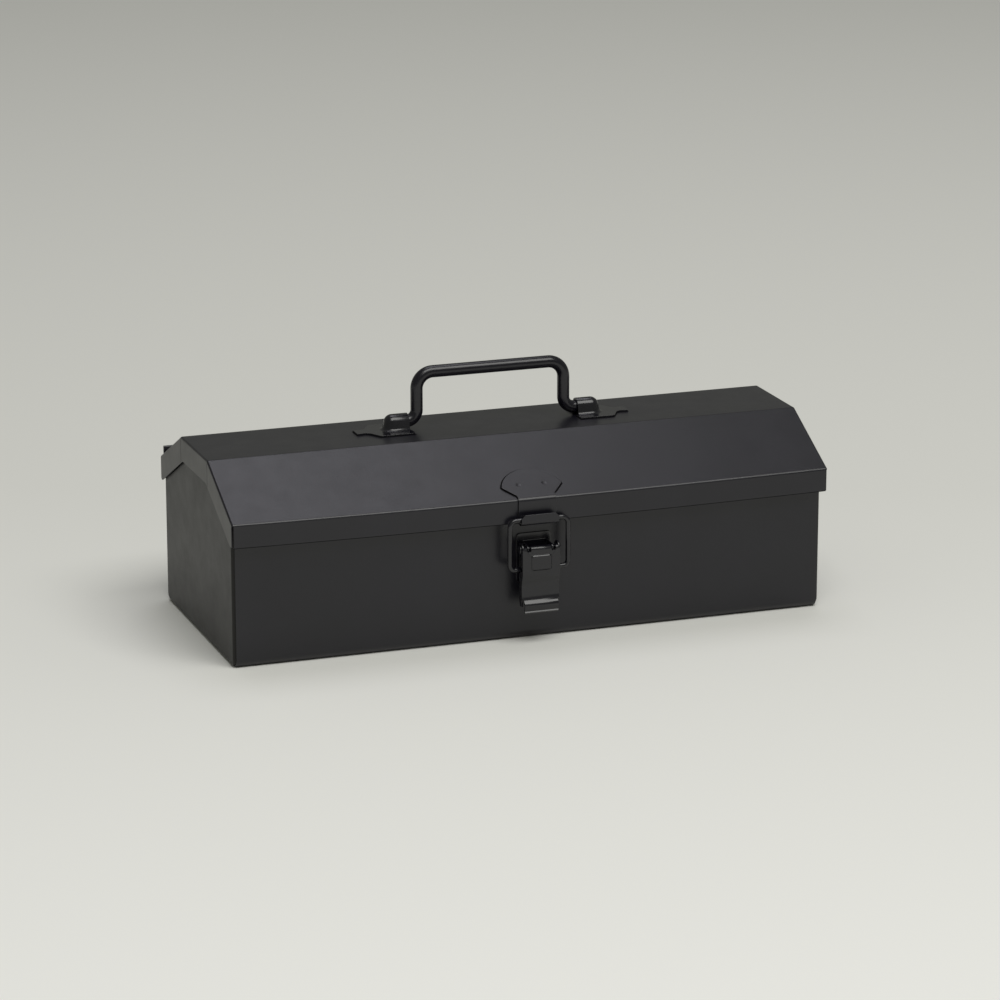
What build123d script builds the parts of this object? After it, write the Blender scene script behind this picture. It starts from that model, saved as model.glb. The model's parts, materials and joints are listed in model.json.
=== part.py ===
from build123d import *
import math
import os

# Camber-topped steel tool box with a folding carry handle and a draw latch.
# Frame, in millimetres: X along the box, -Y towards the latch, +Z up,
# with the origin at the middle of the underside.

# ---- sheet body ------------------------------------------------------------------------
SHEET = 0.8                 # steel sheet of the body and the lid
BODY_LENGTH = 356.0         # over the two end panels
BODY_DEPTH = 142.6          # over the front and rear walls
WALL_TOP = 83.2             # rolled rim of the front and rear walls
WALL_EDGE_INSET = 1.6       # the walls stop this far inside the end panels' faces
BOTTOM_BEND = 5.0           # outer radius where the walls meet the bottom
RIM_RETURN = 6.0            # height of the rolled rim's inner layer
RIM_SPACING = 1.2           # between the mid lines of the rim's two layers
END_FLANGE = 14.0           # width of the end panels' welding flanges
END_TOP_FLANGE = 6.0        # width of their flange under the lid
END_BEND = 2.0              # outer bend radius of the end panels

# ---- sheet lid -------------------------------------------------------------------------
LID_LENGTH = 359.0
LID_FRONT = 77.4            # front eave, from the middle of the body
LID_REAR = 73.1             # rear lip and rear edge of the ends
LID_TOP = 110.1             # flat top of the lid
RIDGE_Y = 27.8              # half width of the flat top
EAVE_Z = 85.4               # height where the slopes meet the skirt
LID_SKIRT = 13.6            # height of the front skirt
END_BAND = 14.0             # width of the lid's turned-down ends
RIDGE_BEND = 3.0            # outer radius at the two ridges
EAVE_BEND = 1.8             # outer radius at the front eave
LIP_BEND = 1.6              # outer radius where the rear lip turns up
LID_EDGE_BEND = 1.2         # outer radius along the lid's ends
LIP_TOP = 93.3              # top of the upturned rear lip
LIP_HEM = 2.4               # height of the lip's folded-over hem
LIP_STRIP = 4.0             # depth of the slope's edge that is formed with the lip
LIP_LAP = 0.5               # how far that strip runs into the roof
BAND_CORNER = 1.8           # radius of the ends' lower rear corners
SKIRT_INSET = 1.0           # the skirt stops this far inside the lid's ends
LIP_INSET = 1.6             # the rear lip stops this far inside the lid's ends
BAND_SETBACK = 1.5          # the ends' front edge stands this far behind the skirt
SEAM = 0.3                  # slit where the ends' flanges meet under each ridge
LID_CLEARANCE = 0.6         # between the lid's inside and the end panels

# ---- spot welds ------------------------------------------------------------------------
WELD_WIDTH = 3.2
WELD_DEPTH = 0.22
WALL_WELD_X = 168.5         # through the walls into the end panels' flanges
WALL_WELD_LOW_Z = 20.5
WALL_WELD_HIGH_Z = 67.0
LEAF_WELD_X = 10.0          # through each hinge leaf, from the hinge's middle
LEAF_WELD_Z = 72.0
FAN_WELD_X = 7.7            # through the hook's fan-shaped head
FAN_WELD_UP = 11.5          # up the slope from the eave

# ---- hinges ----------------------------------------------------------------------------
HINGE_X = 112.0             # distance of each hinge from the middle
HINGE_WIDTH = 36.0
HINGE_STOCK = 0.9
HINGE_PIN = 1.1             # pin radius
HINGE_RUNNING = 0.05        # radial clearance of the pin in its knuckles
HINGE_AXIS_OUT = 2.5        # pin axis behind the lid's rear lip
HINGE_AXIS_Z = 86.2
HINGE_LEAF_FOOT = 64.0      # lowest edge of the body leaf
KNUCKLE_GAP = 0.3
HINGE_CLEAR = 0.4           # leaves stand clear of the other leaf's knuckles

# ---- carry handle ----------------------------------------------------------------------
ROD = 3.6                   # rod radius
LEG_X = 45.1                # rod centre line of each upright
HANDLE_AXIS_Z = 115.0
HANDLE_RISE = 28.3          # from the pivot axis to the grip's centre line
GRIP_BEND = 9.6
FOOT_BEND = 6.5
ROD_END_X = 63.0
BRACKET_STOCK = 1.0
TUNNEL_MOUTH_X = 51.8       # open end of each bracket's tunnel
BASE_MOUTH_X = 50.8         # inner edge of the base plate
TUNNEL_DOME_X = 61.0        # where the tunnel's domed end starts
TUNNEL_LEAN = math.radians(12)  # the tunnel's flanks lean inwards by this angle
TUNNEL_OUTER = 4.9
TUNNEL_INNER = 3.9
TUNNEL_FLARE = 2.2          # fillet where the tunnel meets its base plate
BASE_HALF_WIDTH = 13.0
BASE_NECK_X = 71.7          # the base plate narrows from here
BASE_WAIST_X = 75.7
BASE_TAIL_X = 83.2
WAIST_HALF_WIDTH = 5.5
TAIL_HALF_WIDTH = 4.0
TAIL_TIP_HALF_WIDTH = 4.8

# ---- draw latch ------------------------------------------------------------------------
PLATE = 1.0                 # stock of the hook, the base and the lever
HOOK_STRAP = 11.4           # half width of the hook's strap
HOOK_FAN = 18.2             # half width of its fan-shaped head
HOOK_FLARE = 10.2           # up-slope distance where the fan is widest
HOOK_APEX = 24.2            # up-slope distance of the fan's tip
HOOK_GAP = 4.2              # clear width inside the hook's U
HOOK_BOTTOM = 70.0
HOOK_LEG_TOP = 76.9
HOOK_CORNER = 2.2
LOOP_WIRE = 1.4             # wire radius of the loop
LOOP_LEG_X = 17.5
LOOP_TOP_Z = 73.2
LOOP_BEND = 4.0
LOOP_FOOT_BEND = 3.2
LOOP_Y = -80.8              # plane of the loop when the latch is closed
LOOP_FOOT_Z = 44.2          # where the loop's feet enter the lever
LOOP_FOOT_X = 9.4
PIVOT_Y = -81.3             # lever pivot
PIVOT_Z = 56.0
PIVOT_PIN = 1.4
PIN_RUNNING = 0.06          # radial clearance of the pin and the loop's feet
PIN_HEAD = 2.3
PIN_HEAD_HEIGHT = 0.9
BASE_HALF = 10.4            # latch base on the front wall
BASE_FOOT_Z = 34.0
BASE_TOP_Z = 63.0
STEP_HALF = 7.5             # raised step of the base under the lever
STEP_TOP_Z = 59.3
STEP_FOOT_Z = 38.0
STEP_RISE = 1.0
LUG_X = 6.9                 # inner face of the base's two lugs
LUG_RADIUS = 2.3
LUG_FOOT_HALF = 3.2
LEVER_HALF = 11.3
LEVER_EAR = 3.7             # radius of the lever's ears round the pivot
LEVER_LIP_HALF = 10.2       # half width of the finger lip
LEVER_TOP_Z = 58.1
LEVER_TOP_TURN = 2.4        # depth of the lever's turned-in top edge
LEVER_FACE_Y = -85.1        # outer face beside the pivot
LEVER_WAIST_Y = -83.5       # outer face below the step
LEVER_STEP_TOP = 40.9
LEVER_STEP_FOOT = 36.8
LEVER_FLARE_TOP = 27.2
LEVER_LIP_Y = -86.2         # crest of the finger lip
LEVER_LIP_Z = 24.0
LEVER_FOOT_Z = 18.9
LIP_CURL = 0.8              # the lip curls back by this much above its foot
LEVER_SIDE_Y = -79.1        # rear edge of the lever's side flanges
LEVER_SIDE_FOOT_Z = 22.6
NOTCH_IN = 6.1              # the lever's top notches clear the base's lugs
NOTCH_OUT = 8.7
NOTCH_FOOT_Z = 55.2
EMBOSS_HALF = 6.2
EMBOSS_LOW = 44.1
EMBOSS_HIGH = 53.3
EMBOSS_RISE = 0.8

# ---- worked out ------------------------------------------------------------------------
WALL_Y = BODY_DEPTH / 2
END_X = BODY_LENGTH / 2
LID_X = LID_LENGTH / 2
SLOPE = math.atan2(LID_TOP - EAVE_Z, LID_FRONT - RIDGE_Y)
SKIRT_Z = EAVE_Z - LID_SKIRT
HINGE_Y = LID_REAR + HINGE_AXIS_OUT
KNUCKLE = HINGE_PIN + HINGE_RUNNING + HINGE_STOCK


# ---- helpers ---------------------------------------------------------------------------
def bent_sheet(points, radii, thickness):
    """Section of a sheet bent along points, its mid line, with one mid-line radius per bend."""
    return trace(FilletPolyline(*points, radius=radii), line_width=thickness)


def along_x(section, low, high):
    """Extrudes a section drawn in (Y, Z) from X = low to X = high."""
    return extrude(Plane.YZ.offset(low) * section, amount=high - low)


def block(low, high):
    """Box between two corners."""
    size = [h - l for l, h in zip(low, high)]
    centre = [(l + h) / 2 for l, h in zip(low, high)]
    return Pos(*centre) * Box(*size)


def rod_x(radius, low, high, y, z):
    """Cylinder along X."""
    return Pos((low + high) / 2, y, z) * Rot(0, 90, 0) * Cylinder(radius, high - low)


def symmetric_face(right):
    """Face in (Y, Z) from the points of its right half, from foot to top."""
    return make_face(Polyline(*right, *[(-y, z) for y, z in reversed(right)], close=True))


def dimple(centre, outward):
    """Shallow round mark that a spot weld leaves at a point of a sheet's face."""
    radius = (WELD_WIDTH ** 2 / 4 + WELD_DEPTH ** 2) / (2 * WELD_DEPTH)
    return Pos(Vector(centre) + Vector(outward) * (radius - WELD_DEPTH)) * Sphere(radius)


def mirrored(part):
    """The same part on the other end of the box."""
    return mirror(part, about=Plane.YZ)


def roof(depth):
    """Ridge (y, z) and eave (y, z) of the lid's outline, moved inwards by depth."""
    ridge_y = RIDGE_Y - depth * math.tan(SLOPE / 2)
    eave_z = EAVE_Z - depth * math.tan((math.pi / 2 - SLOPE) / 2)
    return ridge_y, LID_TOP - depth, LID_FRONT - depth, eave_z


def slope_z(y, depth):
    """Height of the lid's slope at a distance y from the middle, moved inwards by depth."""
    ridge_y, ridge_z, _, _ = roof(depth)
    return ridge_z - (abs(y) - ridge_y) * math.tan(SLOPE)


# ---- body ------------------------------------------------------------------------------
def body_trough():
    """Front wall, bottom and rear wall in one sheet, with rolled rims between the end panels."""
    wall = WALL_Y - SHEET / 2
    bottom = SHEET / 2
    bend = BOTTOM_BEND - SHEET / 2
    crest = WALL_TOP - SHEET / 2
    plain_top = WALL_TOP - RIM_SPACING
    plain = [(-wall, plain_top), (-wall, bottom), (wall, bottom), (wall, plain_top)]
    rim = wall - RIM_SPACING
    rolled = [(-rim, WALL_TOP - RIM_RETURN), (-rim, crest), (-wall, crest), (-wall, bottom)]
    rolled += [(-y, z) for y, z in reversed(rolled)]
    fold = RIM_SPACING / 2 - 0.01
    half = END_X - WALL_EDGE_INSET
    rim_half = END_X - END_FLANGE - 1
    trough = along_x(bent_sheet(plain, bend, SHEET), -half, half)
    radii = [fold, fold, bend, bend, fold, fold]
    trough += along_x(bent_sheet(rolled, radii, SHEET), -rim_half, rim_half)
    for side in (-1, 1):
        for x in (-WALL_WELD_X, WALL_WELD_X):
            for z in (WALL_WELD_LOW_Z, WALL_WELD_HIGH_Z):
                trough -= dimple((x, side * WALL_Y, z), (0, side, 0))
    return trough


def end_panel():
    """Right end: a shallow pan whose flanges are welded inside the walls and the bottom."""
    ridge_y, ridge_z, _, _ = roof(SHEET + LID_CLEARANCE)
    side = WALL_Y - SHEET
    shoulder = slope_z(side, SHEET + LID_CLEARANCE)
    outline = symmetric_face([(side, SHEET), (side, shoulder), (ridge_y, ridge_z)])
    corner = BOTTOM_BEND - SHEET + 0.2
    outer = fillet(outline.vertices().group_by(Axis.Y)[0], corner)
    inner = fillet(offset(outline, amount=-SHEET).vertices().group_by(Axis.Y)[0], corner - SHEET)
    pan = along_x(outer, END_X - END_FLANGE, END_X)
    pan = fillet(pan.faces().sort_by(Axis.X)[-1].edges(), END_BEND)
    hollow = along_x(inner, END_X - END_FLANGE - 1, END_X - SHEET)
    hollow = fillet(hollow.faces().sort_by(Axis.X)[-1].edges(), END_BEND - SHEET)
    trim_x = END_X - END_TOP_FLANGE
    trim = block((END_X - END_FLANGE - 1, -side - 1, WALL_TOP + 1), (trim_x, side + 1, LID_TOP))
    return pan - hollow - trim


# ---- lid -------------------------------------------------------------------------------
def lid_outline(depth):
    """The lid's filled section, moved inwards by depth, with its bends rounded."""
    ridge_y, ridge_z, eave_y, eave_z = roof(depth)
    outline = symmetric_face([(eave_y, SKIRT_Z), (eave_y, eave_z), (ridge_y, ridge_z)])
    corners = outline.vertices().group_by(Axis.Y)
    outline = fillet(corners[-1], RIDGE_BEND - depth)
    return fillet(outline.vertices().group_by(Axis.Y)[1], EAVE_BEND - depth)


def lid_blank():
    """The roof with closed ends that are rounded along the slopes, ridges and flat top."""
    blank = along_x(lid_outline(0), -LID_X, LID_X)
    ends = blank.faces().sort_by(Axis.X)
    edges = ends[0].edges() + ends[-1].edges()
    blank = fillet([e for e in edges if e.center().Z > SKIRT_Z + 1], LID_EDGE_BEND)
    inside = along_x(lid_outline(SHEET), -LID_X + SHEET, LID_X - SHEET)
    ridge_y, ridge_z, _, _ = roof(END_BAND)
    foot_y = ridge_y + (ridge_z - SKIRT_Z) / math.tan(SLOPE)
    band_hollow = along_x(symmetric_face([(foot_y, SKIRT_Z), (ridge_y, ridge_z)]), -LID_X, LID_X)
    return blank - inside - band_hollow


def rear_lip():
    """The lid's rear edge: the slope turns up into a lip whose top is folded forwards."""
    mid = SHEET / 2
    eave_y = LID_REAR - mid
    start_y = LID_REAR - LIP_STRIP
    crest = LIP_TOP - mid
    hem_y = eave_y - SHEET - 0.2
    path = [(start_y, slope_z(start_y, mid)), (eave_y, slope_z(eave_y, mid)), (eave_y, crest)]
    path += [(hem_y, crest), (hem_y, LIP_TOP - LIP_HEM)]
    fold = (eave_y - hem_y) / 2 - 0.01
    section = bent_sheet(path, [LIP_BEND - mid, fold, fold], SHEET)
    return along_x(section, -LID_X + LIP_INSET, LID_X - LIP_INSET)


def lid_shell():
    """The whole lid sheet: roof, front skirt, turned-down ends and rear lip."""
    lid = lid_blank()
    far = LID_X + 1
    front = LID_FRONT + 1
    low_z = SKIRT_Z - 1
    roof_rear = LID_REAR - LIP_STRIP + LIP_LAP
    lid = lid - block((-LID_X + SHEET, roof_rear, low_z), (LID_X - SHEET, front, LID_TOP))
    lid = lid - block((-far, LID_REAR, low_z), (far, front, LID_TOP))
    rear_edges = lid.edges().filter_by(Axis.X).group_by(Axis.Y)[-1]
    lid = fillet(rear_edges.filter_by_position(Axis.Z, low_z, EAVE_Z), BAND_CORNER)
    lid = lid + rear_lip()
    seam_foot = LID_TOP - END_BAND - 3
    seam_top = LID_TOP - EAVE_BEND
    for side in (-1, 1):
        low, high = sorted((side * (LID_X - SKIRT_INSET), side * far))
        lid = lid - block((low, -front, low_z), (high, -LID_FRONT + BAND_SETBACK, EAVE_Z - SHEET))
        low, high = sorted((side * (LID_X - SHEET), side * far))
        for y in (-RIDGE_Y, RIDGE_Y):
            lid = lid - block((low, y - SEAM / 2, seam_foot), (high, y + SEAM / 2, seam_top))
    return lid


# ---- hinges ----------------------------------------------------------------------------
def hinge_spans():
    """X ranges of the two body knuckles and of the lid knuckle between them."""
    left = HINGE_X - HINGE_WIDTH / 2
    third = HINGE_WIDTH / 3
    gap = KNUCKLE_GAP / 2
    body = [(left, left + third - gap), (left + 2 * third + gap, left + HINGE_WIDTH)]
    lid = (left + third + gap, left + 2 * third - gap)
    return body, lid


def knuckle(low, high):
    """Filled knuckle; the bore is cut once the leaf is joined to it."""
    return rod_x(KNUCKLE, low, high, HINGE_Y, HINGE_AXIS_Z)


def hinge_bore():
    far = HINGE_X + HINGE_WIDTH
    return rod_x(HINGE_PIN + HINGE_RUNNING, HINGE_X - HINGE_WIDTH, far, HINGE_Y, HINGE_AXIS_Z)


def hinge_body_leaf():
    """Leaf welded to the rear wall, cranked outwards to its two knuckles."""
    body, lid = hinge_spans()
    mid = HINGE_STOCK / 2
    wall = WALL_Y + mid
    crank = HINGE_AXIS_Z - 2 * KNUCKLE - mid
    tip = (HINGE_Y - 0.6, HINGE_AXIS_Z - 1.6)
    path = [(wall, HINGE_LEAF_FOOT), (wall, crank), tip]
    leaf = along_x(bent_sheet(path, 1.5, HINGE_STOCK), body[0][0], body[1][1])
    foot_edges = leaf.edges().filter_by(Axis.Y).group_by(Axis.Z)[0]
    leaf = fillet(foot_edges, 3)
    clearance = KNUCKLE + HINGE_CLEAR
    low, high = lid[0] - KNUCKLE_GAP, lid[1] + KNUCKLE_GAP
    leaf = leaf - rod_x(clearance, low, high, HINGE_Y, HINGE_AXIS_Z)
    for span in body:
        leaf = leaf + knuckle(*span)
    for x in (HINGE_X - LEAF_WELD_X, HINGE_X + LEAF_WELD_X):
        leaf -= dimple((x, WALL_Y + HINGE_STOCK, LEAF_WELD_Z), (0, 1, 0))
    return leaf - hinge_bore()


def hinge_lid_leaf():
    """Leaf welded behind the lid's lip, rolled into the middle knuckle."""
    body, lid = hinge_spans()
    low, high = body[0][0], body[1][1]
    back = LID_REAR + HINGE_STOCK
    leaf = block((low, LID_REAR, HINGE_AXIS_Z), (high, back, LIP_TOP - 0.6))
    top_edges = leaf.edges().filter_by(Axis.Y).group_by(Axis.Z)[-1]
    leaf = fillet(top_edges, 2)
    clearance = KNUCKLE + HINGE_CLEAR
    for span_low, span_high in ((low - 1, lid[0]), (lid[1], high + 1)):
        leaf = leaf - rod_x(clearance, span_low, span_high, HINGE_Y, HINGE_AXIS_Z)
        leaf = leaf - block((span_low, LID_REAR, 0), (span_high, back, HINGE_AXIS_Z + 1.2))
    return leaf + knuckle(*lid) - hinge_bore()


def hinge_pin():
    """Pin through the three knuckles, with lightly chamfered ends."""
    low, high = HINGE_X - HINGE_WIDTH / 2 - 0.4, HINGE_X + HINGE_WIDTH / 2 + 0.4
    pin = rod_x(HINGE_PIN, low, high, HINGE_Y, HINGE_AXIS_Z)
    return chamfer(pin.edges().filter_by(GeomType.CIRCLE), 0.25)


# ---- carry handle ----------------------------------------------------------------------
def handle_rod():
    """Round rod bent into a grip, two uprights and two outward pivot ends."""
    top = HANDLE_AXIS_Z + HANDLE_RISE
    half = [(ROD_END_X, 0, HANDLE_AXIS_Z), (LEG_X, 0, HANDLE_AXIS_Z), (LEG_X, 0, top)]
    path = FilletPolyline(
        *half,
        *[(-x, y, z) for x, y, z in reversed(half)],
        radius=[FOOT_BEND, GRIP_BEND, GRIP_BEND, FOOT_BEND],
    )
    section = Plane(origin=path @ 0, z_dir=path % 0) * Circle(ROD)
    rod = sweep(section, path=path)
    ends = rod.faces().filter_by(Axis.X)
    return chamfer(ends.edges(), 0.5)


def tunnel_foot(radius, height):
    """Half width of the tunnel at a height below its axis."""
    side_y = radius * math.cos(TUNNEL_LEAN)
    side_z = HANDLE_AXIS_Z + radius * math.sin(TUNNEL_LEAN)
    return side_y + (side_z - height) * math.tan(TUNNEL_LEAN)


def tunnel(radius, low):
    """Round-topped ridge with leaning flanks from X = low, closed by a domed outer end."""
    side_y = radius * math.cos(TUNNEL_LEAN)
    side_z = HANDLE_AXIS_Z + radius * math.sin(TUNNEL_LEAN)
    right = [(tunnel_foot(radius, LID_TOP), LID_TOP), (side_y, side_z)]
    section = symmetric_face(right) + Pos(0, HANDLE_AXIS_Z) * Circle(radius)
    section &= Pos(0, LID_TOP + LID_TOP / 2) * Rectangle(LID_TOP, LID_TOP)
    ridge = along_x(section, low, TUNNEL_DOME_X)
    half = section & Pos(LID_TOP / 2, LID_TOP) * Rectangle(LID_TOP, LID_TOP)
    dome = revolve(Plane.XZ * half, axis=Axis.Z)
    return ridge + Pos(TUNNEL_DOME_X, 0, 0) * dome


def bracket_plan():
    """Base plate of a handle bracket, seen from above."""
    side = [
        (BASE_MOUTH_X, BASE_HALF_WIDTH),
        (BASE_NECK_X, BASE_HALF_WIDTH),
        (BASE_WAIST_X, WAIST_HALF_WIDTH),
        (BASE_WAIST_X + 2.5, TAIL_HALF_WIDTH),
        (BASE_TAIL_X, TAIL_TIP_HALF_WIDTH),
    ]
    plan = make_face(Polyline(*side, *[(x, -y) for x, y in reversed(side)], close=True))
    plan = fillet(plan.vertices().group_by(Axis.X)[1], 2.5)
    waist = plan.vertices().filter_by_position(Axis.X, BASE_WAIST_X - 0.1, BASE_WAIST_X + 0.1)
    return fillet(waist, 2.0)


def handle_bracket():
    """Pressed bracket welded to the lid, with a tunnel that holds one end of the rod."""
    plate_top = LID_TOP + BRACKET_STOCK
    plate = Pos(0, 0, LID_TOP) * extrude(bracket_plan(), amount=BRACKET_STOCK)
    bracket = plate + tunnel(TUNNEL_OUTER, TUNNEL_MOUTH_X)
    foot = [e for e in bracket.edges() if on_tunnel_foot(e, plate_top)]
    bracket = fillet(foot, TUNNEL_FLARE)
    return bracket - tunnel(TUNNEL_INNER, BASE_MOUTH_X - 1)


def on_tunnel_foot(edge, height):
    """True for the edges where the tunnel's wall meets the top of the base plate."""
    ends = [edge.start_point(), edge.end_point()]
    level = all(abs(p.Z - height) < 1e-3 for p in ends)
    reach = tunnel_foot(TUNNEL_OUTER, height) + 0.1
    near = all(abs(p.Y) < reach and p.X < TUNNEL_DOME_X + reach for p in ends)
    mouth = all(p.X < TUNNEL_MOUTH_X + 1e-3 for p in ends)
    return level and near and not mouth


# ---- draw latch ------------------------------------------------------------------------
def hook_plate():
    """Fan-shaped plate on the front slope, bent over the eave and down into a hook."""
    mid = PLATE / 2
    strap_y = LID_FRONT + mid
    leg_y = strap_y + PLATE + HOOK_GAP
    eave_z = roof(-mid)[3]
    turn = (HOOK_GAP + PLATE) / 2 - 0.01
    start_y = LID_FRONT - 4
    foot = HOOK_BOTTOM + mid
    path = [(-start_y, slope_z(start_y, -mid)), (-strap_y, eave_z), (-strap_y, foot)]
    path += [(-leg_y, foot), (-leg_y, HOOK_LEG_TOP)]
    strap = along_x(bent_sheet(path, [EAVE_BEND + mid, turn, turn], PLATE), -HOOK_STRAP, HOOK_STRAP)
    corners = [e for e in strap.edges().filter_by(Axis.Y) if abs(e.center().Z - HOOK_LEG_TOP) < 0.01]
    strap = chamfer(corners, HOOK_CORNER)
    eave = Plane(
        origin=(0, -LID_FRONT, EAVE_Z),
        x_dir=(1, 0, 0),
        z_dir=(0, -math.sin(SLOPE), math.cos(SLOPE)),
    )
    plate = strap + extrude(eave * hook_fan(), amount=PLATE)
    for x in (-FAN_WELD_X, FAN_WELD_X):
        weld = (eave * Pos(x, FAN_WELD_UP, PLATE)).position
        plate -= dimple(weld, eave.z_dir)
    return plate


def hook_fan():
    """Fan outline in the plane of the slope, with Y measured up the slope from the eave."""
    start = EAVE_BEND + 1.0
    left = (-HOOK_FAN, HOOK_FLARE)
    right = (HOOK_FAN, HOOK_FLARE)
    outline = Polyline(left, (-HOOK_STRAP, start), (HOOK_STRAP, start), right)
    arch = ThreePointArc(right, (0, HOOK_APEX), left)
    fan = make_face(outline + arch)
    return fillet(fan.vertices().group_by(Axis.Y)[-1], 1.5)


def latch_loop():
    """Wire loop that pulls the hook down; its two feet turn inwards into the lever."""
    half = [
        (LOOP_FOOT_X, LOOP_Y, LOOP_FOOT_Z),
        (LOOP_LEG_X, LOOP_Y, LOOP_FOOT_Z),
        (LOOP_LEG_X, LOOP_Y, LOOP_TOP_Z),
    ]
    path = FilletPolyline(
        *half,
        *[(-x, y, z) for x, y, z in reversed(half)],
        radius=[LOOP_FOOT_BEND, LOOP_BEND, LOOP_BEND, LOOP_FOOT_BEND],
    )
    section = Plane(origin=path @ 0, z_dir=path % 0) * Circle(LOOP_WIRE)
    return sweep(section, path=path)


def latch_base():
    """Base welded to the front wall: a plate, a raised step and two lugs for the lever's pin."""
    wall = -WALL_Y
    face = wall - PLATE
    plate = block((-BASE_HALF, face, BASE_FOOT_Z), (BASE_HALF, wall, BASE_TOP_Z))
    plate = fillet(plate.edges().filter_by(Axis.Y), 2)
    step = block((-STEP_HALF, face - STEP_RISE, STEP_FOOT_Z), (STEP_HALF, face, STEP_TOP_Z))
    step = fillet(step.edges().filter_by(Axis.Y), 1.5)
    step = fillet(step.faces().sort_by(Axis.Y)[0].edges(), 0.5)
    root_y = face - STEP_RISE / 2
    lug = Pos(PIVOT_Y, PIVOT_Z) * Circle(LUG_RADIUS)
    arm = [(root_y, PIVOT_Z - LUG_FOOT_HALF), (root_y, PIVOT_Z + LUG_FOOT_HALF - 0.6)]
    arm += [(PIVOT_Y, PIVOT_Z + LUG_RADIUS), (PIVOT_Y, PIVOT_Z - LUG_RADIUS)]
    lug += make_face(Polyline(*arm, close=True))
    base = plate + step
    for low in (-LUG_X - PLATE, LUG_X):
        base += along_x(lug, low, low + PLATE)
    return base - rod_x(PIVOT_PIN, -BASE_HALF, BASE_HALF, PIVOT_Y, PIVOT_Z)


def latch_pin():
    """Rivet through the lugs and the lever, with a low head outside each side flange."""
    reach = LEVER_HALF + 0.15
    pin = rod_x(PIVOT_PIN, -reach, reach, PIVOT_Y, PIVOT_Z)
    for side in (-1, 1):
        head = rod_x(PIN_HEAD, reach, reach + PIN_HEAD_HEIGHT, PIVOT_Y, PIVOT_Z)
        head = fillet(head.faces().sort_by(Axis.X)[-1].edges(), PIN_HEAD_HEIGHT * 0.7)
        pin += head if side > 0 else mirrored(head)
    return pin


def lever_face():
    """Section of the lever's face: upper flat, step, lower flat and rolled finger lip."""
    upper = LEVER_FACE_Y + PLATE / 2
    lower = LEVER_WAIST_Y + PLATE / 2
    path = [
        (upper + LEVER_TOP_TURN, LEVER_TOP_Z - PLATE / 2),
        (upper, LEVER_TOP_Z - PLATE / 2),
        (upper, LEVER_STEP_TOP),
        (lower, LEVER_STEP_FOOT),
        (lower, LEVER_FLARE_TOP),
        (LEVER_LIP_Y + PLATE / 2, LEVER_LIP_Z),
        (LEVER_LIP_Y + PLATE / 2 + LIP_CURL, LEVER_FOOT_Z + 1.3),
        (LEVER_LIP_Y + PLATE / 2, LEVER_FOOT_Z + PLATE / 2),
    ]
    return bent_sheet(path, [1.6, 4, 4, 5.5, 2.2, 0.6], PLATE)


def lever_side():
    """Side flange of the lever, seen along X."""
    front_top = LEVER_FACE_Y + PLATE / 2
    front_low = LEVER_WAIST_Y + PLATE / 2
    points = [
        (front_top, LEVER_TOP_Z - 0.6),
        (PIVOT_Y, LEVER_TOP_Z - 0.6),
        (PIVOT_Y + LEVER_EAR - 0.4, PIVOT_Z - 1),
        (LEVER_SIDE_Y, LOOP_FOOT_Z),
        (LEVER_SIDE_Y, LEVER_SIDE_FOOT_Z + 3),
        (LEVER_SIDE_Y - 1.5, LEVER_SIDE_FOOT_Z),
        (front_low, LEVER_SIDE_FOOT_Z),
        (front_low, LEVER_STEP_FOOT),
        (front_top, LEVER_STEP_TOP),
    ]
    return make_face(Polyline(*points, close=True)) + Pos(PIVOT_Y, PIVOT_Z) * Circle(LEVER_EAR)


def latch_lever():
    """Pressed lever: a channel with an embossed face and a rolled finger lip."""
    lever = along_x(lever_face(), -LEVER_HALF, LEVER_HALF)
    front = LEVER_LIP_Y - 1
    for low in (-LEVER_HALF - 1, LEVER_LIP_HALF):
        high = low + LEVER_HALF + 1 - LEVER_LIP_HALF
        lever -= block((low, front, LEVER_FOOT_Z - 1), (high, LEVER_SIDE_Y, LEVER_FLARE_TOP - 0.4))
    for low in (-LEVER_HALF, LEVER_HALF - PLATE):
        lever += along_x(lever_side(), low, low + PLATE)
    rear = PIVOT_Y + LEVER_EAR + 1
    for low in (-NOTCH_OUT, NOTCH_IN):
        high = low + NOTCH_OUT - NOTCH_IN
        notch = block((low, LEVER_FACE_Y - 1, NOTCH_FOOT_Z), (high, rear, LEVER_TOP_Z + 1))
        lever -= fillet(notch.edges().filter_by(Axis.Y).group_by(Axis.Z)[0], 1)
    pad = block(
        (-EMBOSS_HALF, LEVER_FACE_Y - EMBOSS_RISE, EMBOSS_LOW),
        (EMBOSS_HALF, LEVER_FACE_Y + 0.3, EMBOSS_HIGH),
    )
    pad = fillet(pad.edges().filter_by(Axis.Y), 1.6)
    lever += chamfer(pad.faces().sort_by(Axis.Y)[0].edges(), EMBOSS_RISE * 0.9)
    lever -= rod_x(PIVOT_PIN + PIN_RUNNING, -20, 20, PIVOT_Y, PIVOT_Z)
    return lever - rod_x(LOOP_WIRE + PIN_RUNNING, -20, 20, LOOP_Y, LOOP_FOOT_Z)


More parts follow.
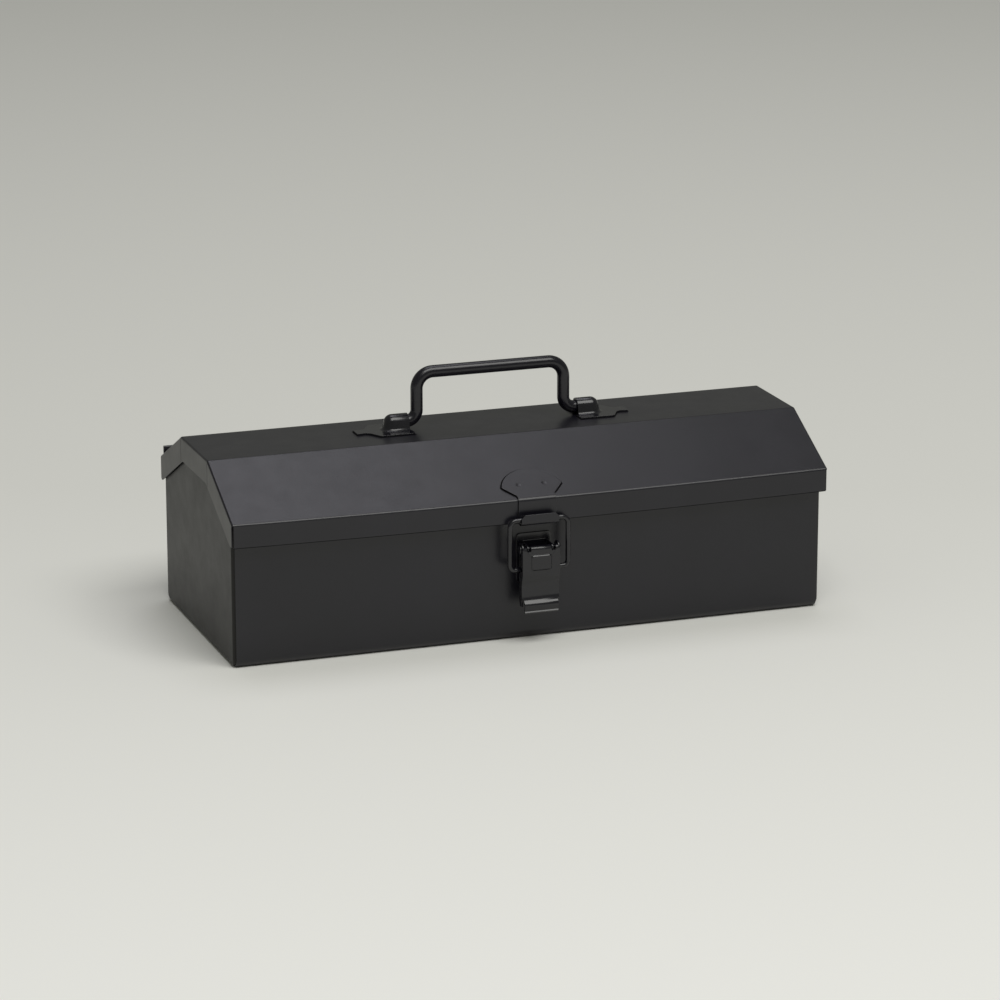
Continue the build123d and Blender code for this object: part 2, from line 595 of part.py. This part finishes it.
# ---- write every part ------------------------------------------------------------------
def main():
    panel = end_panel()
    bracket = handle_bracket()
    body_leaf = hinge_body_leaf()
    lid_leaf = hinge_lid_leaf()
    pin = hinge_pin()
    parts = {
        "body_trough": body_trough(),
        "end_panel_right": panel,
        "end_panel_left": mirrored(panel),
        "lid_shell": lid_shell(),
        "hinge_body_leaf_right": body_leaf,
        "hinge_body_leaf_left": mirrored(body_leaf),
        "hinge_lid_leaf_right": lid_leaf,
        "hinge_lid_leaf_left": mirrored(lid_leaf),
        "hinge_pin_right": pin,
        "hinge_pin_left": mirrored(pin),
        "handle_rod": handle_rod(),
        "handle_bracket_right": bracket,
        "handle_bracket_left": mirrored(bracket),
        "hook_plate": hook_plate(),
        "latch_base": latch_base(),
        "latch_pin": latch_pin(),
        "latch_lever": latch_lever(),
        "latch_loop": latch_loop(),
    }
    os.makedirs("parts", exist_ok=True)
    for name, part in parts.items():
        export_step(part, f"parts/{name}.step")


main()
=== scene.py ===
import json
import math

import bmesh
import bpy
from mathutils import Matrix, Vector


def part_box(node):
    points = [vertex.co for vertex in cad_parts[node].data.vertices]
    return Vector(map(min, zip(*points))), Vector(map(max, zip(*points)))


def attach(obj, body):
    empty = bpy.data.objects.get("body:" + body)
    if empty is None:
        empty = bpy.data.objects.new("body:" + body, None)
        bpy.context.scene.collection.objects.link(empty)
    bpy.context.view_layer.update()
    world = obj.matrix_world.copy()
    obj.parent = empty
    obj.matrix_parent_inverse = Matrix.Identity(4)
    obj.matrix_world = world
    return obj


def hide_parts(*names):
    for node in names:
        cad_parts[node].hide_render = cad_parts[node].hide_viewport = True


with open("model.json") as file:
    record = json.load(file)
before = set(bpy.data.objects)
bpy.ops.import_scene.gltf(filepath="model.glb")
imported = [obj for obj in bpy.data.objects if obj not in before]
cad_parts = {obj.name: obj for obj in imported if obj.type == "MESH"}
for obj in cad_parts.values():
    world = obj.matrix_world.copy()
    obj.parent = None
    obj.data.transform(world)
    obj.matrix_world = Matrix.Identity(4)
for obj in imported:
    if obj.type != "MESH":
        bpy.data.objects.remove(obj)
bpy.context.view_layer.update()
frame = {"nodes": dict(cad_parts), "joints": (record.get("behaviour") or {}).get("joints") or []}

MM = 0.001


def add_object(name, data):
    """Puts a mesh, a camera or a light into the scene as an object."""
    added = bpy.data.objects.new(name, data)
    bpy.context.scene.collection.objects.link(added)
    return added


def new_mesh(name, verts, faces):
    mesh = bpy.data.meshes.new(name)
    mesh.from_pydata(verts, [], faces)
    return mesh


# ---- camera ----------------------------------------------------------------------------
VIEW_AZIMUTH = math.radians(19.525)    # the camera stands this far to the left of the front
VIEW_DROP = math.radians(15.788)       # and looks down by this angle
VIEW_TARGET = Vector((0, 0, 0.060))
VIEW_DISTANCE = 2.4347
VIEW_ASIDE = 0.00487                   # the view's centre, right of and above the target
VIEW_ABOVE = 0.00262
LENS = 149.89
SENSOR = 36.0


def make_camera():
    """Long lens, a little above the box and to its left."""
    data = bpy.data.cameras.new("camera")
    data.lens = LENS
    data.sensor_width = SENSOR
    data.clip_start = 0.05
    data.clip_end = 100.0
    camera = add_object("camera", data)
    level = math.cos(VIEW_DROP)
    ahead = (math.sin(VIEW_AZIMUTH) * level, math.cos(VIEW_AZIMUTH) * level)
    forward = Vector((*ahead, -math.sin(VIEW_DROP)))
    right = Vector((math.cos(VIEW_AZIMUTH), -math.sin(VIEW_AZIMUTH), 0))
    up = right.cross(forward)
    camera.location = VIEW_TARGET - forward * VIEW_DISTANCE + right * VIEW_ASIDE + up * VIEW_ABOVE
    camera.rotation_euler = forward.to_track_quat("-Z", "Y").to_euler()
    bpy.context.scene.camera = camera


# ---- node helpers ----------------------------------------------------------------------
class Nodes:
    """Short names for adding and linking the nodes of one material or world."""

    def __init__(self, owner):
        owner.use_nodes = True
        self.tree = owner.node_tree
        self.tree.nodes.clear()

    def add(self, kind, **settings):
        node = self.tree.nodes.new(kind)
        for name, value in settings.items():
            setattr(node, name, value)
        return node

    def link(self, source, target):
        self.tree.links.new(source, target)

    def noise(self, where, scale, detail=2.0, rough=0.5):
        """Noise texture in object space; scale is in cycles per metre."""
        node = self.add("ShaderNodeTexNoise")
        node.inputs["Scale"].default_value = scale
        node.inputs["Detail"].default_value = detail
        node.inputs["Roughness"].default_value = rough
        self.link(where, node.inputs["Vector"])
        return node.outputs["Fac"]

    def spread(self, value, span, to_span=(0.0, 1.0)):
        """Maps a value's span, from low to high, to another span."""
        node = self.add("ShaderNodeMapRange")
        node.inputs["From Min"].default_value = span[0]
        node.inputs["From Max"].default_value = span[1]
        node.inputs["To Min"].default_value = to_span[0]
        node.inputs["To Max"].default_value = to_span[1]
        self.link(value, node.inputs["Value"])
        return node.outputs["Result"]

    def blend(self, amount, first, second):
        """Colour between two colours."""
        node = self.add("ShaderNodeMix", data_type="RGBA")
        colours = [s for s in node.inputs if s.type == "RGBA"]
        for socket, colour in zip(colours, (first, second)):
            if hasattr(colour, "links"):
                self.link(colour, socket)
            else:
                socket.default_value = (*colour, 1)
        self.link(amount, node.inputs[0])
        return [s for s in node.outputs if s.type == "RGBA"][0]

    def bump(self, height, distance, under=None):
        """Bump of a given depth in metres, over the normal of another bump."""
        node = self.add("ShaderNodeBump")
        node.inputs["Strength"].default_value = 1.0
        node.inputs["Distance"].default_value = distance
        self.link(height, node.inputs["Height"])
        if under:
            self.link(under, node.inputs["Normal"])
        return node.outputs["Normal"]


# ---- materials -------------------------------------------------------------------------
NOISE_SPAN = (0.3, 0.7)                # where most of a noise texture's values lie
SPECK_SPAN = (0.68, 0.8)               # only its rare high values make specks of dust
SPECK_STRENGTH = 0.5
PATCH_TONES = (0.85, 1.15)             # darker and lighter patches, as parts of the colour
DUST_TONE = 2.3                        # a speck is this much lighter,
DUST_GREY = 0.003                      # and has this much grey added


def new_material(name):
    """A material, its node helper, its object coordinates and its shader."""
    mat = bpy.data.materials.new(name)
    n = Nodes(mat)
    where = n.add("ShaderNodeTexCoord").outputs["Object"]
    shader = n.add("ShaderNodeBsdfPrincipled")
    out = n.add("ShaderNodeOutputMaterial")
    n.link(shader.outputs["BSDF"], out.inputs["Surface"])
    return mat, n, where, shader


def toned(colour, times, plus=0.0):
    """A lighter or darker tone of a colour."""
    return tuple(c * times + plus for c in colour)


def baked_paint(name, colour, roughness, index, grain, peel, sway=0.0):
    """Black baked enamel, with the depths of its grain, orange peel and slow waves."""
    mat, n, where, shader = new_material(name)
    patches = n.noise(where, scale=22.0, detail=3.0)
    specks = n.noise(where, scale=1400.0, detail=1.0)
    dark, light = (toned(colour, tone) for tone in PATCH_TONES)
    tint = n.blend(n.spread(patches, NOISE_SPAN), dark, light)
    dusty = toned(colour, DUST_TONE, DUST_GREY)
    tint = n.blend(n.spread(specks, SPECK_SPAN, (0.0, SPECK_STRENGTH)), tint, dusty)
    n.link(tint, shader.inputs["Base Color"])
    worn = n.noise(where, scale=75.0, detail=4.0, rough=0.6)
    n.link(n.spread(worn, NOISE_SPAN, roughness), shader.inputs["Roughness"])
    shader.inputs["IOR"].default_value = index
    normal = n.bump(n.noise(where, scale=16.0, detail=1.0), sway)
    normal = n.bump(n.noise(where, scale=420.0, detail=1.0), peel, normal)
    normal = n.bump(n.noise(where, scale=1500.0, detail=2.0), grain, normal)
    n.link(normal, shader.inputs["Normal"])
    return mat


def make_paints():
    """The enamels, by what they cover."""
    sheet = {"grain": 0.02 * MM, "peel": 0.012 * MM, "sway": 0.25 * MM}
    fine = {"grain": 0.006 * MM, "peel": 0.01 * MM}
    drawn = {"grain": 0.006 * MM, "peel": 0.012 * MM}
    dull = {"grain": 0.01 * MM, "peel": 0.01 * MM}
    return {
        # painted shade: the band and end enamels are copies of the body enamel made warmer and less
        # glossy, so that the lid's end bands and the end panels look darker
        "body": baked_paint("body_enamel", (0.0050, 0.0046, 0.0082), (0.30, 0.35), 1.53, **sheet),
        "bands": baked_paint("shaded_band_enamel", (0.0052, 0.0048, 0.0042), (0.34, 0.39), 1.465, **sheet),
        "ends": baked_paint("shaded_end_enamel", (0.0052, 0.0048, 0.0040), (0.40, 0.46), 1.385, **sheet),
        "fittings": baked_paint("fittings_enamel", (0.0045, 0.0042, 0.0070), (0.18, 0.26), 1.56, **fine),
        "handle": baked_paint("handle_enamel", (0.0040, 0.0034, 0.0070), (0.20, 0.28), 1.50, **drawn),
        # painted shade: near-black matt enamel for the dark lines at the skirt's foot, along the hook's
        # edges and around plates on the lid
        "thin": baked_paint("painted_shade_enamel", (0.0022, 0.0021, 0.0024), (0.55, 0.75), 1.22, **dull),
    }


# ---- stage -----------------------------------------------------------------------------
FLOOR_HALF = 30.0
PAPER_SHADE_SPAN = (-0.65, 0.25)             # painted shade: the paper is coloured darker between these depths along the view, as the light falls off
PAPER_NEAR = (0.86, 0.86, 0.835)
PAPER_FAR_SHADE = (0.72, 0.72, 0.685)
PAPER_TOOTH = 0.02 * MM
ROOM_COLOUR = (0.98, 0.99, 0.90, 1)
ROOM_STRENGTH = 0.22


def floor_paper():
    """Pale matt paper with a faint tooth, and painted shade that darkens it away from the camera."""
    mat, n, where, shader = new_material("floor_paper")
    depth = n.add("ShaderNodeVectorMath", operation="DOT_PRODUCT")
    depth.inputs[1].default_value = (math.sin(VIEW_AZIMUTH), math.cos(VIEW_AZIMUTH), 0)
    n.link(where, depth.inputs[0])
    # painted shade: the paper's colour is graded by depth along the view
    tint = n.blend(n.spread(depth.outputs["Value"], PAPER_SHADE_SPAN), PAPER_NEAR, PAPER_FAR_SHADE)
    n.link(tint, shader.inputs["Base Color"])
    shader.inputs["Roughness"].default_value = 0.9
    shader.inputs["Specular IOR Level"].default_value = 0.2
    tooth = n.noise(where, scale=700.0, detail=2.0)
    n.link(n.bump(tooth, PAPER_TOOTH), shader.inputs["Normal"])
    return mat


def make_floor():
    corners = [(x * FLOOR_HALF, y * FLOOR_HALF, 0) for x, y in ((-1, -1), (1, -1), (1, 1), (-1, 1))]
    mesh = new_mesh("floor", corners, [(0, 1, 2, 3)])
    floor = add_object("floor", mesh)
    mesh.materials.append(floor_paper())


def area_light(name, location, target, size, power, colour):
    """Rectangular light that faces a target; its power is in watts."""
    data = bpy.data.lights.new(name, "AREA")
    data.shape = "RECTANGLE"
    data.size, data.size_y = size
    data.energy = power
    data.color = colour
    light = add_object(name, data)
    light.location = location
    light.rotation_euler = (Vector(target) - Vector(location)).to_track_quat("-Z", "Y").to_euler()


def make_lights():
    """Pale room light, a bluish soft box overhead and a larger key light in front."""
    world = bpy.data.worlds.new("studio")
    bpy.context.scene.world = world
    n = Nodes(world)
    back = n.add("ShaderNodeBackground")
    out = n.add("ShaderNodeOutputWorld")
    back.inputs["Color"].default_value = ROOM_COLOUR
    back.inputs["Strength"].default_value = ROOM_STRENGTH
    n.link(back.outputs["Background"], out.inputs["Surface"])
    area_light("soft_box", location=(0.3, 1.15, 3.6), target=(0, 0, 0),
               size=(1.9, 1.8), power=22, colour=(0.94, 0.93, 1.0))
    area_light("key", location=(0.3, -1.9, 3.3), target=(0, 0, 0.05),
               size=(3.4, 2.2), power=99, colour=(1.0, 0.995, 0.965))


# ---- pieces that stand for CAD nodes ---------------------------------------------------
def show_instead(name, mesh, body):
    """A piece that is shown in place of a CAD node."""
    piece = add_object(name + "_shown", mesh)
    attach(piece, body)
    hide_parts(name)
    return piece


def dress(pieces, paint):
    """Gives pieces one paint all over."""
    for piece in pieces:
        piece.data.materials.clear()
        piece.data.materials.append(paint)


def repaint(mesh, paint, is_chosen):
    """Gives the faces that pass a test another paint."""
    mesh.materials.append(paint)
    index = len(mesh.materials) - 1
    for face in mesh.polygons:
        if is_chosen(face):
            face.material_index = index


# ---- lid and hook ----------------------------------------------------------------------
LID_LOW, LID_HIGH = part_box("lid_shell")
LID_HALF_LENGTH = round(LID_HIGH.x, 6)  # to the micrometre, as are the next two
LID_FRONT_Y = round(LID_LOW.y, 6)
SKIRT_LINE_Z = round(LID_LOW.z, 6) + 0.4 * MM  # below this the skirt's edge gets painted shade
LID_STEP = 12 * MM
RIDGE_FRONT_Y = -27.8 * MM             # the front of the lid's flat top
SLOPE_NORMAL = Vector((0, -0.436, 0.900))  # the way that the lid's front slope faces
SAG = 1.3 * MM                         # how far the lid's front edge hangs at mid-length
HOOK_HALF_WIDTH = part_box("hook_plate")[1][0]
HOOK_STEP = 6 * MM
HOOK_STILL_Z = 76.0 * MM               # the hook doesn't follow the sag below this height
HOOK_HELD_Z = 84.0 * MM                # and follows it fully above this one
HOOK_FAN_Z = 89 * MM                   # above this the hook is a fan that lies on the slope
WELD_DISTANCE = 0.002 * MM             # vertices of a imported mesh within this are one
FACES_END = 0.9                        # least part along X of a normal on the lid's ends
UPRIGHT = 0.5                          # most part along Z of a normal on an upright face
ON_RIM = 0.3                           # most part along SLOPE_NORMAL on the fan's rim
FACES_SIDE = 0.6                       # least part along X on the hook's side edges


def cut(bm, point, normal):
    """Cuts the edges and faces that a plane crosses."""
    parts = [*bm.verts, *bm.edges, *bm.faces]
    bmesh.ops.bisect_plane(bm, geom=parts, plane_co=point, plane_no=normal)


def cut_across(mesh, half, step):
    """Welds a long mesh and cuts it across X at even steps, so that it can bend."""
    bm = bmesh.new()
    bm.from_mesh(mesh)
    bmesh.ops.remove_doubles(bm, verts=bm.verts, dist=WELD_DISTANCE)
    count = int(half / step)
    for i in range(-count, count + 1):
        cut(bm, (i * step, 0, 0), (1, 0, 0))
    bm.to_mesh(mesh)
    bm.free()


def cut_level(mesh, height):
    """Cuts a mesh across Z at one height."""
    bm = bmesh.new()
    bm.from_mesh(mesh)
    cut(bm, (0, 0, height), (0, 0, 1))
    bm.to_mesh(mesh)
    bm.free()


def clamp(value):
    return min(1.0, max(0.0, value))


def hang(mesh, still_z=0.0, held_z=MM):
    """Lowers a mesh with the lid's front edge: not below still_z, and fully above held_z."""
    for v in mesh.vertices:
        along = 1 - (v.co.x / LID_HALF_LENGTH) ** 2
        across = clamp((RIDGE_FRONT_Y - v.co.y) / (RIDGE_FRONT_Y - LID_FRONT_Y))
        held = clamp((v.co.z - still_z) / (held_z - still_z))
        v.co.z -= SAG * along * across * held


def is_band(face):
    """The lid's turned-down ends."""
    return abs(face.normal.x) > FACES_END


def is_skirt_edge(face):
    """The upright faces at the very bottom of the skirt, which carry painted shade."""
    return face.center.z < SKIRT_LINE_Z and abs(face.normal.z) < UPRIGHT


def is_hook_edge(face):
    """The rim of the fan and the side edges of the hook below it, which carry painted shade."""
    on_rim = face.center.z > HOOK_FAN_Z and abs(face.normal.dot(SLOPE_NORMAL)) < ON_RIM
    return on_rim or abs(face.normal.x) > FACES_SIDE


def make_lid(paint, shaded_band_paint, shade_paint):
    """The lid's thin front edge hangs a little between its stiff ends, and the hook with it."""
    lid = show_instead("lid_shell", frame["nodes"]["lid_shell"].data.copy(), "lid")
    hook = show_instead("hook_plate", frame["nodes"]["hook_plate"].data.copy(), "lid")
    cut_across(lid.data, LID_HALF_LENGTH, LID_STEP)
    cut_level(lid.data, SKIRT_LINE_Z)
    cut_across(hook.data, HOOK_HALF_WIDTH, HOOK_STEP)
    dress([lid, hook], paint)
    # painted shade: the lid's end bands get the darker copy of the enamel
    repaint(lid.data, shaded_band_paint, is_band)
    # painted shade: the skirt's foot and the hook's edges get the near-black enamel
    repaint(lid.data, shade_paint, is_skirt_edge)
    repaint(hook.data, shade_paint, is_hook_edge)
    hang(lid.data)
    hang(hook.data, HOOK_STILL_Z, HOOK_HELD_Z)
    return lid, hook


# ---- painted shade rims ----------------------------------------------------------------
UP = Vector((0, 0, 1))
SHADE_RIM_LIFT = 0.05 * MM               # how far a shade rim lies above the underside it copies
FACES_LID = -0.98                      # an underside's normal along the lid's is below this
HOOK_POINT = Vector((0, -72.0 * MM, 87.0 * MM))
HOOK_GROWTH = (1.045, 1.045, 1.045)
BRACKET_POINT = Vector((66 * MM, 0, 109.9 * MM))  # of the right bracket
BRACKET_GROWTH = (1.03, 1.045, 1)


def painted_shade_rim(name, source, up, still, growth, paint):
    """Painted shade around a plate on the lid: a dark copy of its underside above a point, grown away
    from it.
    """
    verts, faces = [], []
    for face in source.polygons:
        if face.normal.dot(up) > FACES_LID or face.center.z < still.z:
            continue
        first = len(verts)
        for i in face.vertices:
            offset = Matrix.Diagonal(growth) @ (source.vertices[i].co - still)
            verts.append(still + offset + up * SHADE_RIM_LIFT)
        faces.append(tuple(reversed(range(first, len(verts)))))
    mesh = new_mesh(name, verts, faces)
    mesh.materials.append(paint)
    piece = add_object(name, mesh)
    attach(piece, "lid")


def make_painted_shade_rims(hook, paint):
    """Painted shade: dark lines around the hook's fan and around the handle brackets' base plates."""
    painted_shade_rim("hook_shade_rim", hook.data, SLOPE_NORMAL, HOOK_POINT, HOOK_GROWTH, paint)
    for side, sign in (("right", 1), ("left", -1)):
        source = frame["nodes"][f"handle_bracket_{side}"].data
        still = Vector((sign * BRACKET_POINT.x, BRACKET_POINT.y, BRACKET_POINT.z))
        painted_shade_rim(f"bracket_shade_rim_{side}", source, UP, still, BRACKET_GROWTH, paint)


# ---- handle rod and latch loop ---------------------------------------------------------
ROD_SIDES = 32
ARC_STEPS = 16
HANDLE_RADIUS = 3.6 * MM
HANDLE_FOOT_X = 63.0 * MM              # the feet's ends, in the brackets
HANDLE_LEG_X = 45.1 * MM
HANDLE_TOP_Z = 143.3 * MM
HANDLE_BENDS = (6.5 * MM, 9.6 * MM)    # radii of the bends from foot to leg and from leg to grip
HANDLE_PLAY = Vector((-0.8 * MM, 0, 0))  # the rod has slid this far in its brackets
LOOP_RADIUS = 1.4 * MM
LOOP_FOOT_X = 9.4 * MM                 # the feet's ends, in the lever
LOOP_LEG_X = 17.5 * MM
LOOP_TOP_Z = 73.2 * MM
LOOP_BENDS = (3.2 * MM, 4.0 * MM)      # from foot to leg and from leg to crossbar


def rod_corners(joint, foot_x, leg_x, top_z):
    """Corners of a symmetric rod, from its right foot at a joint over the top to its left."""
    _, y, foot_z = next(j["pos_m"] for j in frame["joints"] if j["name"] == joint)
    half = [(foot_x, y, foot_z), (leg_x, y, foot_z), (leg_x, y, top_z)]
    return [Vector(p) for p in half + [(-x, y, z) for x, y, z in reversed(half)]]


def rounded_path(corners, radii):
    """Points along straight runs joined by arcs at the inner corners."""
    path = [corners[0]]
    for i, radius in enumerate(radii, start=1):
        corner = corners[i]
        to_last = (corners[i - 1] - corner).normalized()
        to_next = (corners[i + 1] - corner).normalized()
        reach = radius / math.tan(to_last.angle(to_next) / 2)
        middle = (to_last + to_next).normalized()
        centre = corner + middle * math.hypot(radius, reach)
        start = corner + to_last * reach - centre
        end = corner + to_next * reach - centre
        for k in range(ARC_STEPS + 1):
            path.append(centre + start.slerp(end, k / ARC_STEPS).normalized() * radius)
    path.append(corners[-1])
    return path


def rod_mesh(name, corners, bends, radius):
    """Round rod in a plane of constant Y, bent at its corners, that is smooth all round."""
    low_bend, high_bend = bends
    path = rounded_path(corners, [low_bend, high_bend, high_bend, low_bend])
    normal = Vector((0, 1, 0))
    verts, faces = [], []
    for i, point in enumerate(path):
        before, after = path[max(i - 1, 0)], path[min(i + 1, len(path) - 1)]
        side = normal.cross((after - before).normalized())
        for k in range(ROD_SIDES):
            turn = 2 * math.pi * k / ROD_SIDES
            verts.append(point + radius * (math.cos(turn) * side + math.sin(turn) * normal))
    for i in range(len(path) - 1):
        for k in range(ROD_SIDES):
            a, b = i * ROD_SIDES + k, i * ROD_SIDES + (k + 1) % ROD_SIDES
            faces.append((a, b, b + ROD_SIDES, a + ROD_SIDES))
    faces.append(tuple(reversed(range(ROD_SIDES))))
    faces.append(tuple(range(len(verts) - ROD_SIDES, len(verts))))
    return new_mesh(name, verts, faces)


def make_handle():
    corners = rod_corners("handle_swing", HANDLE_FOOT_X, HANDLE_LEG_X, HANDLE_TOP_Z)
    moved = [p + HANDLE_PLAY for p in corners]
    mesh = rod_mesh("handle_rod", moved, HANDLE_BENDS, HANDLE_RADIUS)
    return show_instead("handle_rod", mesh, "handle")


def make_loop():
    corners = rod_corners("latch_loop_pivot", LOOP_FOOT_X, LOOP_LEG_X, LOOP_TOP_Z)
    mesh = rod_mesh("latch_loop", corners, LOOP_BENDS, LOOP_RADIUS)
    return show_instead("latch_loop", mesh, "latch_loop")


# ---- finish ----------------------------------------------------------------------------
EDGE_ANGLE = math.radians(40)          # only folds sharper than this are rounded
EDGE_WIDTH = 0.15 * MM
HOOK_EDGE_WIDTH = 0.25 * MM
FLAT = math.radians(0.5)               # facets within this angle are joined
LID_FLAT = math.radians(0.03)          # the sag turns the lid's strips by only 0.055 degrees


def soften_edges(node, width=EDGE_WIDTH):
    """Rounds a node's cut edges a little, so that they catch the light."""
    weld = node.modifiers.new("weld", "WELD")
    weld.merge_threshold = WELD_DISTANCE
    edge = node.modifiers.new("edge", "BEVEL")
    edge.width = width
    edge.segments = 2
    edge.limit_method = "ANGLE"
    edge.angle_limit = EDGE_ANGLE
    edge.use_clamp_overlap = False
    edge.harden_normals = True
    return edge


def soften_sheet(node, width=EDGE_WIDTH, flat=FLAT):
    """The same for a part with wide sheets, whose nearly flat facets are joined first."""
    edge = soften_edges(node, width)
    edge.harden_normals = False
    joined = node.modifiers.new("joined", "DECIMATE")
    joined.decimate_type = "DISSOLVE"
    joined.angle_limit = flat
    joined.delimit = {"NORMAL", "MATERIAL"}
    after_weld = 1
    node.modifiers.move(len(node.modifiers) - 1, after_weld)
    shade = node.modifiers.new("shade", "WEIGHTED_NORMAL")
    shade.keep_sharp = False


def nodes(*names):
    return [frame["nodes"][name] for name in names]


def both(name):
    """A node's name on the right and on the left."""
    return [f"{name}_right", f"{name}_left"]


def finish_pieces():
    """Makes the pieces that stand for CAD nodes, then paints and softens them all."""
    paints = make_paints()
    lid, hook = make_lid(paints["body"], paints["bands"], paints["thin"])
    make_painted_shade_rims(hook, paints["thin"])
    handle = make_handle()
    loop = make_loop()
    panels = nodes(*both("end_panel"))
    pressed = nodes("body_trough") + panels
    hinges = nodes(*both("hinge_body_leaf"), *both("hinge_lid_leaf"))
    fitted = nodes(*both("handle_bracket"), "latch_base", "latch_lever")
    turned = nodes(*both("hinge_pin"), "latch_pin")
    dress(pressed, paints["body"])
    # painted shade: the end panels get the darker copy of the enamel
    dress(panels, paints["ends"])
    dress([*hinges, *fitted, *turned, loop], paints["fittings"])
    dress([handle], paints["handle"])
    for piece in [*pressed, *hinges]:
        soften_sheet(piece)
    soften_sheet(lid, flat=LID_FLAT)
    soften_sheet(hook, width=HOOK_EDGE_WIDTH)
    for piece in fitted:
        soften_edges(piece)
    for piece in (handle, loop):
        piece.data.shade_smooth()


make_camera()
make_floor()
make_lights()
finish_pieces()
bpy.context.scene.view_settings.view_transform = "Standard"
